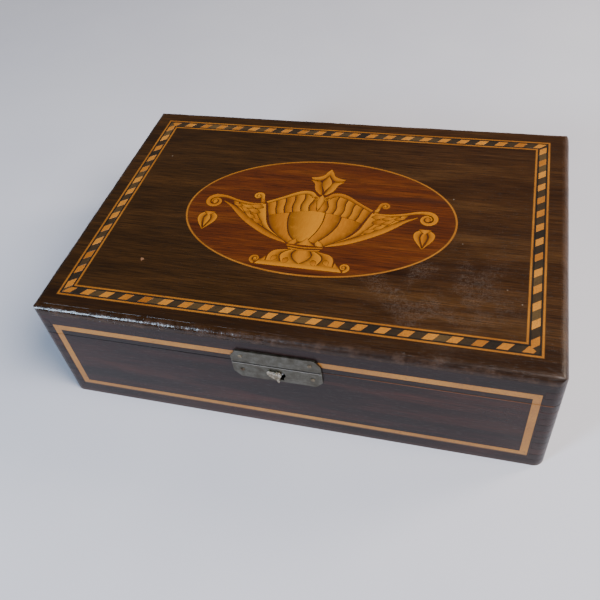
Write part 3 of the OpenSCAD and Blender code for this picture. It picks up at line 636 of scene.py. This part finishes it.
sanded, tree, bsdf = finish_for("sand_shaded_veneer")
place = put(tree, "TexCoord").outputs["Object"]
tone = put(tree, "Attribute", attribute_name="tone").outputs["Fac"]
burn = put(tree, "Attribute", attribute_name="burn").outputs["Fac"]
grain = noise(tree, place, (900, 160, 900), 3, 0.6)
colour = tones(tree, plus(tree, times(tree, tone, 0.40), times(tree, grain, 0.50)),
               [(0.2, (0.37, 0.115, 0.004)), (0.5, (0.50, 0.175, 0.006)), (0.8, (0.58, 0.225, 0.008))])
patchy = times(tree, burn, between(tree, noise(tree, place, (200, 200, 200), 3), 0.0, 0.5))
colour = stain(tree, times(tree, patchy, 0.85, clamp=True), colour, (0.075, 0.021, 0.003, 1))
joint = put(tree, "Attribute", attribute_name="joint").outputs["Fac"]
colour = stain(tree, times(tree, between(tree, joint, 0.05, 0.7), 0.9), colour, (0.035, 0.010, 0.003, 1))
flecks = between(tree, noise(tree, place, (700, 700, 700), 4, 0.7), 0.60, 0.76)
colour = stain(tree, times(tree, flecks, 0.4), colour, (0.20, 0.08, 0.02, 1))
tree.links.new(colour, bsdf.inputs["Base Color"])
tree.links.new(plus(tree, times(tree, grain, 0.2), 0.28), bsdf.inputs["Roughness"])
raised(tree, bsdf, grain, 0.4, 0.03 * mm)


def laid(bits, name, node, thickness=0.3):
    """Joins the bits of one part of the urn, gives them their thickness, and lays them in the lid."""
    bpy.ops.object.select_all(action="DESELECT")
    for bit in bits:
        bit.select_set(True)
    bpy.context.view_layer.objects.active = bits[0]
    bpy.ops.object.join()
    piece = bpy.context.object
    piece.name = name
    bpy.ops.object.transform_apply(location=True, rotation=True, scale=True)
    bpy.ops.object.mode_set(mode="EDIT")
    bpy.ops.mesh.select_all(action="DESELECT")
    bpy.ops.object.mode_set(mode="OBJECT")
    for face in piece.data.polygons:
        face.select = face.normal.z < 0
    bpy.ops.object.mode_set(mode="EDIT")
    bpy.ops.mesh.select_mode(type="FACE")
    bpy.ops.mesh.flip_normals()
    bpy.ops.object.mode_set(mode="OBJECT")
    body = piece.modifiers.new("thickness", "SOLIDIFY")
    body.thickness = thickness * mm
    body.offset = -1
    bpy.ops.object.modifier_apply(modifier=body.name)
    piece.data.materials.append(sanded)
    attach(piece, "lid")
    if node:
        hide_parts(node)
    return piece


# bowl: four gadroons with a calyx of three leaves at the neck
gadroon_lines = [[(-25.6, -4.6), (-23.6, -10.2), (-19.5, -16.3), (-14.4, -20.8), (-9.4, -24.3)],
                 [(-14.2, -0.7), (-14.0, -6.1), (-12.4, -12.7), (-9.8, -18.3), (-5.4, -22.8)],
                 [(4.9, 1.5), (4.9, -6.1), (3.6, -13.0), (1.6, -18.0), (0.4, -21.0)],
                 [(14.0, -0.7), (13.4, -7.0), (11.0, -13.4), (7.6, -18.6), (4.6, -22.4)],
                 [(25.6, -4.6), (23.6, -10.2), (19.5, -16.3), (14.4, -20.8), (9.4, -24.3)]]
gadroons = zip(gadroon_lines, gadroon_lines[1:], "aabb", (0.5, 1.5, 0.3, 0.5))
bits = [bit_of_veneer(a, b, burnt, bow=bow, across=8) for a, b, burnt, bow in gadroons]
calyx = [(-5.4, -24.4), (-2.4, -21.8), (0, -18.6)]
bits.append(bit_of_veneer(calyx, flipped(calyx, 1), "both", lift=0.004, along=10))
for side in (-1, 1):
    bits.append(half_bit(side, [(-9.6, -24.4), (-8.6, -22.0), (-5.8, -20.2)],
                         [(-5.2, -24.4), (-4.4, -22.4), (-5.8, -20.2)], "both", lift=0.004, along=10))
laid(bits, "bowl_marquetry", "urn_bowl")

# cover: leaves that run down from the shoulder to the rim, and a moulding along the shoulder
shoulder = [(-29.6, 6.6), (-21.6, 11.4), (-14.4, 16.0), (-9.7, 17.2), (-5.6, 16.6), (-2.6, 14.4), (0, 13.0)]
rim_line = [(-25.6, -4.4), (-19.5, -1.8), (-13.4, -0.1), (-6.3, 1.6), (0, 2.3)]
bits = []
for side in (-1, 1):
    tops, feet = smooth_line(shoulder, 7), smooth_line(rim_line, 7)
    lines = []
    for t, f in zip(tops, feet):
        bend = 0.9 * (1 - abs(t.x) / 34)
        lines.append([tuple(t), (t.x * 0.66 + f.x * 0.34 + bend, t.y * 0.66 + f.y * 0.34),
                      (t.x * 0.3 + f.x * 0.7 - bend, t.y * 0.3 + f.y * 0.7), tuple(f)])
    for a, b in zip(lines, lines[1:]):
        bits.append(half_bit(side, a, b, "a", across=5, along=14))
    bits.append(half_bit(
        side, [(-29.8, 6.8), (-21.6, 12.0), (-14.4, 17.0), (-9.7, 18.6), (-5.4, 17.9), (-3.1, 15.2)],
        [(-28.2, 5.0), (-21.2, 9.4), (-14.0, 13.6), (-9.8, 15.2), (-6.8, 14.6), (-5.0, 12.4)],
        "b", lift=0.004, along=22))
    wound = scroll((-3.2, 12.6), 100, 0.9, 2.3, 1.0, 1.3, 0.6, way=-1)
    bits.append(half_bit(side, *wound, "b", lift=0.006, across=3))
middle_leaf = [(0, 16.0), (-2.3, 12.6), (-1.7, 7.0), (0, 2.4)]
bits.append(bit_of_veneer(middle_leaf, flipped(middle_leaf, 1), "both", lift=0.003))
laid(bits, "cover_marquetry", "urn_cover")

# finial: a bud with two petals, two leaves below and a lozenge between
bits = []
for side in (-1, 1):
    bits.append(half_bit(side, [(0, 39.1), (-1.9, 36.0), (-3.0, 33.4), (-5.8, 31.6), (-10.0, 30.6)],
                         [(0, 33.0), (-1.8, 30.4), (-3.6, 28.2), (-6.2, 27.6), (-8.8, 28.6)], "b"))
    bits.append(half_bit(side, [(-9.6, 27.8), (-7.0, 25.0), (-6.2, 21.8), (-4.9, 18.8), (-2.2, 16.2)],
                         [(-8.8, 28.2), (-3.6, 27.6), (-1.8, 22.5), (-0.8, 19.0), (-0.1, 16.0)], "b"))
heart = [(0, 32.6), (-3.0, 26.2), (0, 18.6)]
bits.append(bit_of_veneer(heart, flipped(heart, 1), "a", lift=0.004))
laid(bits, "finial_marquetry", "urn_finial")

# handles: a moulding that winds into a volute, a small scroll, scales and a long leaf below. The
# handle and the pendant called left lie at +X here, over the solids of the right ones.
for side, word in ((-1, "left"), (1, "right")):
    def placed(points):
        return flipped(points, -side)

    volute = scroll((-58.6, 3.2), 92, 1.30, 6.3, 2.4, 2.8, 1.5,
                    lead_out=[(-30.2, 5.4), (-34.0, 4.8), (-39.4, 5.0), (-46.0, 6.4), (-53.0, 8.9)],
                    lead_in=[(-31.4, 2.8), (-35.0, 2.4), (-39.6, 2.8), (-46.0, 4.3), (-52.6, 6.7)],
                    steps=30)
    small = scroll((-35.3, 10.7), -6, 1.10, 3.8, 1.6, 2.2, 1.2,
                   lead_out=[(-29.8, 5.9), (-30.8, 8.2)], lead_in=[(-33.0, 5.2), (-33.4, 7.4)])
    bits = [bit_of_veneer(placed(volute[0]), placed(volute[1]), "b", along=70, across=4, lift=0.004),
            bit_of_veneer(placed(small[0]), placed(small[1]), "b", along=36, across=4, lift=0.006),
            round_eye(placed([(-58.6, 3.2)])[0], 1.8), round_eye(placed([(-35.3, 10.7)])[0], 1.2),
            half_bit(side, [(-9.9, -24.5), (-20.3, -21.4), (-29.6, -16.3), (-38.0, -10.4),
                            (-44.2, -4.6), (-48.4, -0.2), (-53.4, 3.6)],
                     [(-13.2, -21.6), (-20.8, -17.2), (-28.6, -12.0), (-35.5, -6.8),
                      (-41.4, -2.2), (-46.8, 1.4), (-53.4, 4.6)], "b", along=30)]
    cuts = [[(-29.2, 4.8), (-28.0, 0.8), (-26.6, -3.8), (-24.6, -10.0), (-20.4, -16.0), (-13.6, -21.2)],
            [(-34.4, 2.3), (-33.6, -1.6), (-30.0, -7.0), (-26.0, -13.5)],
            [(-39.6, 2.6), (-38.6, -1.0), (-36.0, -3.6), (-32.8, -9.0)],
            [(-44.6, 3.8), (-43.8, 1.4), (-41.8, -0.4), (-38.6, -4.5)],
            [(-48.6, 5.0), (-48.0, 3.6), (-46.6, 2.4), (-44.0, -0.3)]]
    for a, b in zip(cuts, cuts[1:]):
        bits.append(bit_of_veneer(placed(a), placed(b), "b", along=16))
    scales = [(-41.5, 1.2, 168, 6.0, 2.4), (-36.0, -3.4, 150, 6.5, 3.0), (-35.0, 0.6, 168, 7.5, 3.2),
              (-32.0, -8.0, 150, 7.0, 3.0), (-30.5, -3.2, 160, 8.0, 3.6), (-29.6, 1.4, 172, 8.0, 3.8),
              (-27.0, -11.5, 150, 7.5, 3.2), (-30.6, 5.0, 120, 4.5, 2.6)]
    for rank, (sx, sy, angle, length, width) in enumerate(scales):
        bits.append(leaf((sx, sy), angle, length, width, side, 0.002 + 0.0008 * rank))
    laid(bits, word + "_handle_marquetry", "urn_" + word + "_handle")

    # pendant: a drop of three leaves under the volute
    mid, drop = -58.4, -1.0 if side == 1 else 0.0

    def hung(points):
        return placed([(mid + px, py + drop) for px, py in points])

    bits = [bit_of_veneer(hung([(-1.6, -4.3), (-5.4, -7.6), (-4.8, -12.6), (-0.2, -19.2)]),
                          hung([(-0.2, -5.0), (-2.0, -9.6), (-1.6, -13.2), (-0.1, -18.4)]), "b"),
            bit_of_veneer(hung([(1.6, -4.3), (5.4, -7.6), (4.8, -12.6), (0.2, -19.2)]),
                          hung([(0.2, -5.0), (2.0, -9.6), (1.6, -13.2), (0.1, -18.4)]), "b"),
            bit_of_veneer(hung([(-0.1, -5.2), (-1.9, -9.6), (-1.5, -12.8), (0, -17.2)]),
                          hung([(0.1, -5.2), (1.9, -9.6), (1.5, -12.8), (0, -17.2)]), "a", lift=0.002),
            bit_of_veneer(hung([(-3.6, -4.6), (-2.2, -6.4), (-0.2, -8.0)]),
                          hung([(3.6, -4.6), (2.2, -6.4), (0.2, -8.0)]), "both", lift=0.006, along=8)]
    laid(bits, word + "_pendant_marquetry", "urn_" + word + "_pendant")

# collar: two mouldings
laid([bit_of_veneer([(-9.8, -24.7), (0, -25.5), (9.8, -24.7)],
                    [(-8.9, -26.4), (0, -27.2), (8.9, -26.4)], "b"),
      bit_of_veneer([(-8.7, -26.6), (0, -27.4), (8.7, -26.6)],
                    [(-7.6, -28.4), (0, -29.0), (7.6, -28.4)], "b")],
     "collar_marquetry", "urn_collar")

# foot: five leaves over a flat base that ends in two volutes
leaf_lines = [[(-8.6, -28.6), (-14.4, -29.8), (-17.0, -32.8), (-17.4, -37.6)],
              [(-6.4, -28.5), (-9.6, -30.6), (-11.0, -33.6), (-9.4, -37.8)],
              [(-3.8, -28.6), (-5.2, -31.6), (-3.6, -35.2), (0, -38.0)]]
bits = [bit_of_veneer([(-22.6, -41.1), (0, -41.2), (22.6, -41.1)],
                      [(-20.0, -37.4), (0, -36.4), (20.0, -37.4)], "b", along=30),
        bit_of_veneer(leaf_lines[2], flipped(leaf_lines[2], 1), "both", lift=0.006)]
for side in (-1, 1):
    bits.append(half_bit(side, *leaf_lines[:2], "b", lift=0.002))
    bits.append(half_bit(side, *leaf_lines[1:], "b", lift=0.004))
    wound = scroll((-22.9, -37.4), 268, 1.1, 3.8, 1.5, 2.4, 1.2, way=-1)
    bits.append(half_bit(side, *wound, "b", lift=0.004, along=30, across=4))
    bits.append(round_eye(flipped([(-22.9, -37.4)], -side)[0], 1.2))
    small_leaves = [(-6.6, -34.4, 252, 4.6, 3.4), (-12.6, -33.4, 248, 4.8, 3.2)]
    for rank, (sx, sy, angle, length, width) in enumerate(small_leaves):
        bits.append(leaf((sx, sy), angle, length, width, side, 0.007 + 0.001 * rank))
    bits.append(half_bit(side, [(-21.2, -38.0), (-19.0, -36.0), (-18.0, -34.4)],
                         [(-17.4, -38.0), (-17.4, -36.4), (-18.0, -34.4)], "a", lift=0.003, along=8))
laid(bits, "foot_marquetry", "urn_foot")

# ---- Lock and hinges ----------------------------------------------------------------------
# Cut, folded and filed sheet brass, long dulled, with steel pins. Nails and the cover's rivet
# have domed heads, and the heart over the keyhole is rubbed bright by fingers.


def metal(name, deep, plain, bright, roughness_low, scratch=0.5, relief=0.5):
    """Old metal: brown tarnish in clouds, fine scratches both ways, rubbed spots, and a painted highlight
    in a band at the seam's height, along the top lip of the lower plate.
    """
    material, tree, bsdf = finish_for(name)
    bsdf.inputs["Metallic"].default_value = 1.0
    place = put(tree, "TexCoord").outputs["Object"]
    cloud = noise(tree, place, (240, 240, 240), 4, 0.65)
    colour = tones(tree, cloud, [(0.32, deep), (0.50, plain), (0.72, bright)])
    lengthwise = noise(tree, place, (120, 120, 3600), 2, 0.5)
    crosswise = noise(tree, place, (3000, 3000, 260), 2, 0.5, 0.4)
    lines = reckon(tree, "MAXIMUM", between(tree, lengthwise, 0.60, 0.68),
                   between(tree, crosswise, 0.64, 0.72))
    colour = stain(tree, times(tree, lines, scratch), colour, (*bright, 1))
    z = put(tree, "SeparateXYZ", {0: place}).outputs["Z"]
    # painted highlight: a light band on the metal at the seam's height, the top lip of the lower plate
    painted_lip_highlight = times(tree, between(tree, z, 50.0 * mm, 50.3 * mm), between(tree, z, 50.8 * mm, 50.55 * mm))
    colour = stain(tree, times(tree, painted_lip_highlight, 0.8), colour, (0.42, 0.40, 0.36, 1))
    pits = between(tree, noise(tree, place, (1700, 1700, 1700), 3), 0.62, 0.72)
    colour = stain(tree, times(tree, pits, 0.6), colour, (*deep, 1))
    tree.links.new(colour, bsdf.inputs["Base Color"])
    tree.links.new(plus(tree, times(tree, cloud, 0.35), roughness_low),
                   bsdf.inputs["Roughness"])
    height = minus(tree, times(tree, cloud, 1.6), plus(tree, lines, pits))
    raised(tree, bsdf, height, relief, 0.03 * mm)
    return material


dull_brass = metal("dull_brass", (0.066, 0.058, 0.042), (0.104, 0.097, 0.076), (0.17, 0.168, 0.145), 0.26)
rubbed_brass = metal("rubbed_brass", (0.06, 0.042, 0.020), (0.24, 0.205, 0.140), (0.66, 0.63, 0.55), 0.08,
                     scratch=0.3, relief=0.12)
nail_brass = metal("nail_brass", (0.045, 0.030, 0.018), (0.15, 0.115, 0.075), (0.30, 0.26, 0.18), 0.22)
grey_steel = metal("grey_steel", (0.16, 0.13, 0.11), (0.36, 0.35, 0.34), (0.58, 0.57, 0.55), 0.22, 0.3)
fittings = [("lock_face_plate", "lower_plate", "old_brass", "base", 0.18, 2, dull_brass),
            ("lock_hook_plate", "upper_plate", "old_brass", "lid", 0.18, 2, dull_brass),
            ("face_plate_pins", "lower_nails", "bright_brass", "base", 0.24, 3, nail_brass),
            ("hook_plate_pins", "upper_nails", "bright_brass", "lid", 0.24, 3, nail_brass),
            ("cover_rivet", "rivet", "bright_brass", "base", 0.32, 4, rubbed_brass),
            ("keyhole_cover", "heart_cover", "bright_brass", "cover", 0.28, 4, rubbed_brass),
            ("lock_case", "lock_box", "old_brass", "base", 0.06, 1, dull_brass),
            ("lock_bolt", "sliding_bolt", "old_brass", "bolt", 0.10, 2, dull_brass),
            ("lock_key_pin", "key_pin", "steel", "base", 0.12, 2, grey_steel),
            ("bolt_spring", "spring_strip", "steel", "base", 0.04, 1, grey_steel),
            ("hinge_base_leaves", "lower_leaves", "old_brass", "base", 0.12, 2, dull_brass),
            ("hinge_lid_leaves", "upper_leaves", "old_brass", "lid", 0.12, 2, dull_brass),
            ("hinge_pins", "pins", "steel", "base", 0.20, 2, grey_steel)]
for node, name, slot, body, edge, segments, polish in fittings:
    fitting = eased(node, name, body, edge * mm, segments)
    fitting.data.materials.append(polish)

# screws of the hinges, each with a sawn slot turned its own way
for node, name, body in (("hinge_base_screws", "lower_screws", "base"),
                         ("hinge_lid_screws", "upper_screws", "lid")):
    screws = eased(node, name, body, 0)
    low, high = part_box(node)
    face = high.z if body == "base" else low.z
    middle_y = (low.y + high.y) / 2
    turns = random.Random(5 if body == "base" else 6)
    slots = []
    for hinge in (-72, 72):
        for along in (-12, 0, 12):
            bpy.ops.object.select_all(action="DESELECT")
            bpy.ops.mesh.primitive_cube_add(size=1, location=((hinge + along) * mm, middle_y, face),
                                            rotation=(0, 0, turns.uniform(0, math.pi)),
                                            scale=(6 * mm, 0.6 * mm, 0.9 * mm))
            slots.append(bpy.context.object)
    for slot_cutter in slots:
        slot_cutter.select_set(True)
    bpy.context.view_layer.objects.active = slots[0]
    bpy.ops.object.join()
    cutter = bpy.context.object
    choose(screws)
    saw = screws.modifiers.new("slots", "BOOLEAN")
    saw.operation = "DIFFERENCE"
    saw.solver = "EXACT"
    saw.object = cutter
    bpy.ops.object.modifier_apply(modifier=saw.name)
    bpy.data.objects.remove(cutter)
    screws.data.materials.clear()
    screws.data.materials.append(nail_brass)

# ---- Bottom board and linings -------------------------------------------------------------
# A plain stained board in the base's rebate. Dark red cotton velvet covers thin card on the
# sides, and wadding on the floor and under the lid.

bottom_stain, tree, bsdf = finish_for("bottom_stain")
place = put(tree, "TexCoord").outputs["Object"]
colour, pores, fibre = grained(tree, place, "x", (0.055, 0.026, 0.013), (0.095, 0.046, 0.024),
                               (0.15, 0.078, 0.042), 0.6)
scuffs = worn_by_noise(tree, place, 120, 0.56, 0.72)
colour = stain(tree, times(tree, scuffs, 0.4), colour, (0.17, 0.11, 0.075, 1))
tree.links.new(colour, bsdf.inputs["Base Color"])
tree.links.new(plus(tree, times(tree, fibre, 0.2), 0.55), bsdf.inputs["Roughness"])
height = minus(tree, fibre, pores)
raised(tree, bsdf, height, 0.6, 0.08 * mm)
bottom = eased("base_bottom", "bottom_board", "base", 0.25 * mm)
bottom.data.materials.append(bottom_stain)

velvet, tree, bsdf = finish_for("red_velvet")
place = put(tree, "TexCoord").outputs["Object"]
brushed = noise(tree, place, (24, 24, 24), 4, 0.55, 0.2)
pile = noise(tree, place, (5200, 5200, 5200), 2)
colour = tones(tree, brushed, [(0.30, (0.062, 0.0045, 0.008)), (0.52, (0.088, 0.0070, 0.012)),
                               (0.75, (0.122, 0.0120, 0.018))])
tufts = tones(tree, pile, [(0.35, (0.55, 0.5, 0.5)), (0.65, (1.3, 1.3, 1.3))])
colour = stain(tree, 0.6, colour, tufts, "MULTIPLY")
tree.links.new(colour, bsdf.inputs["Base Color"])
bsdf.inputs["Roughness"].default_value = 0.9
bsdf.inputs["Specular IOR Level"].default_value = 0.15
bsdf.inputs["Sheen Weight"].default_value = 0.55
bsdf.inputs["Sheen Roughness"].default_value = 0.35
bsdf.inputs["Sheen Tint"].default_value = (0.75, 0.22, 0.26, 1)
height = plus(tree, pile, times(tree, brushed, 4.0))
raised(tree, bsdf, height, 0.6, 0.12 * mm)
for side in ("front", "back", "left", "right"):
    lining = eased("lining_" + side, side + "_lining", "base", 0.4 * mm, 3)
    lining.data.materials.append(velvet)


def stuffed(node, name, body, way):
    """A pad: a flat closed cover, sewn down round its edge and blown up as wadding does it."""
    low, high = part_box(node)
    flat_z = low.z if way > 0 else high.z
    mid_x, mid_y = (low.x + high.x) / 2, (low.y + high.y) / 2
    bpy.ops.object.select_all(action="DESELECT")
    bpy.ops.mesh.primitive_grid_add(x_subdivisions=66, y_subdivisions=44, size=1,
                                    location=(mid_x, mid_y, flat_z + way * 0.05 * mm))
    pad = bpy.context.object
    pad.name = name
    pad.scale = (high.x - low.x - 0.4 * mm, high.y - low.y - 0.4 * mm, 1)
    bpy.ops.object.transform_apply(location=True, rotation=True, scale=True)
    bpy.ops.object.mode_set(mode="EDIT")
    bpy.ops.mesh.select_all(action="SELECT")
    bpy.ops.mesh.extrude_region_move(TRANSFORM_OT_translate={"value": (0, 0, way * 1.1 * mm)})
    bpy.ops.mesh.select_all(action="SELECT")
    bpy.ops.mesh.normals_make_consistent(inside=False)
    bpy.ops.object.mode_set(mode="OBJECT")
    sewn = pad.vertex_groups.new(name="sewn")
    half_x, half_y = (high.x - low.x) / 2, (high.y - low.y) / 2
    still = [v.index for v in pad.data.vertices if abs(v.co.z - flat_z) < 0.3 * mm
             or abs(v.co.x - mid_x) > half_x - 1 * mm or abs(v.co.y - mid_y) > half_y - 1 * mm]
    sewn.add(still, 1.0, "REPLACE")
    start = [v.co.copy() for v in pad.data.vertices]
    swell = pad.modifiers.new("swell", "CLOTH")
    swell.settings.quality = 4
    swell.settings.use_pressure = True
    swell.settings.uniform_pressure_force = 4
    swell.settings.effector_weights.gravity = 0
    swell.settings.vertex_group_mass = "sewn"
    swell.settings.shrink_min = -0.03
    for step in range(1, 21):
        bpy.context.scene.frame_set(step)
    bpy.ops.object.modifier_apply(modifier=swell.name)
    bpy.context.scene.frame_set(1)
    room = (high.z - low.z) - 1.25 * mm
    for v, was in zip(pad.data.vertices, start):
        rise = max(0.0, way * (v.co.z - was.z))
        if abs(was.z - flat_z) < 0.3 * mm:
            v.co = was
        else:
            v.co.x = was.x + max(-1 * mm, min(1 * mm, v.co.x - was.x))
            v.co.y = was.y + max(-1 * mm, min(1 * mm, v.co.y - was.y))
            v.co.z = was.z + way * room * (1 - math.exp(-rise / (1.3 * mm)))
    choose(pad)
    finer = pad.modifiers.new("finer", "SUBSURF")
    finer.levels = 1
    finer.render_levels = 1
    bpy.ops.object.modifier_apply(modifier=finer.name)
    bpy.ops.object.shade_smooth_by_angle(angle=math.radians(50))
    pad.data.materials.append(velvet)
    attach(pad, body)
    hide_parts(node)


stuffed("floor_pad", "floor_cushion", "base", 1)
stuffed("lid_lining", "lid_cushion", "lid", -1)
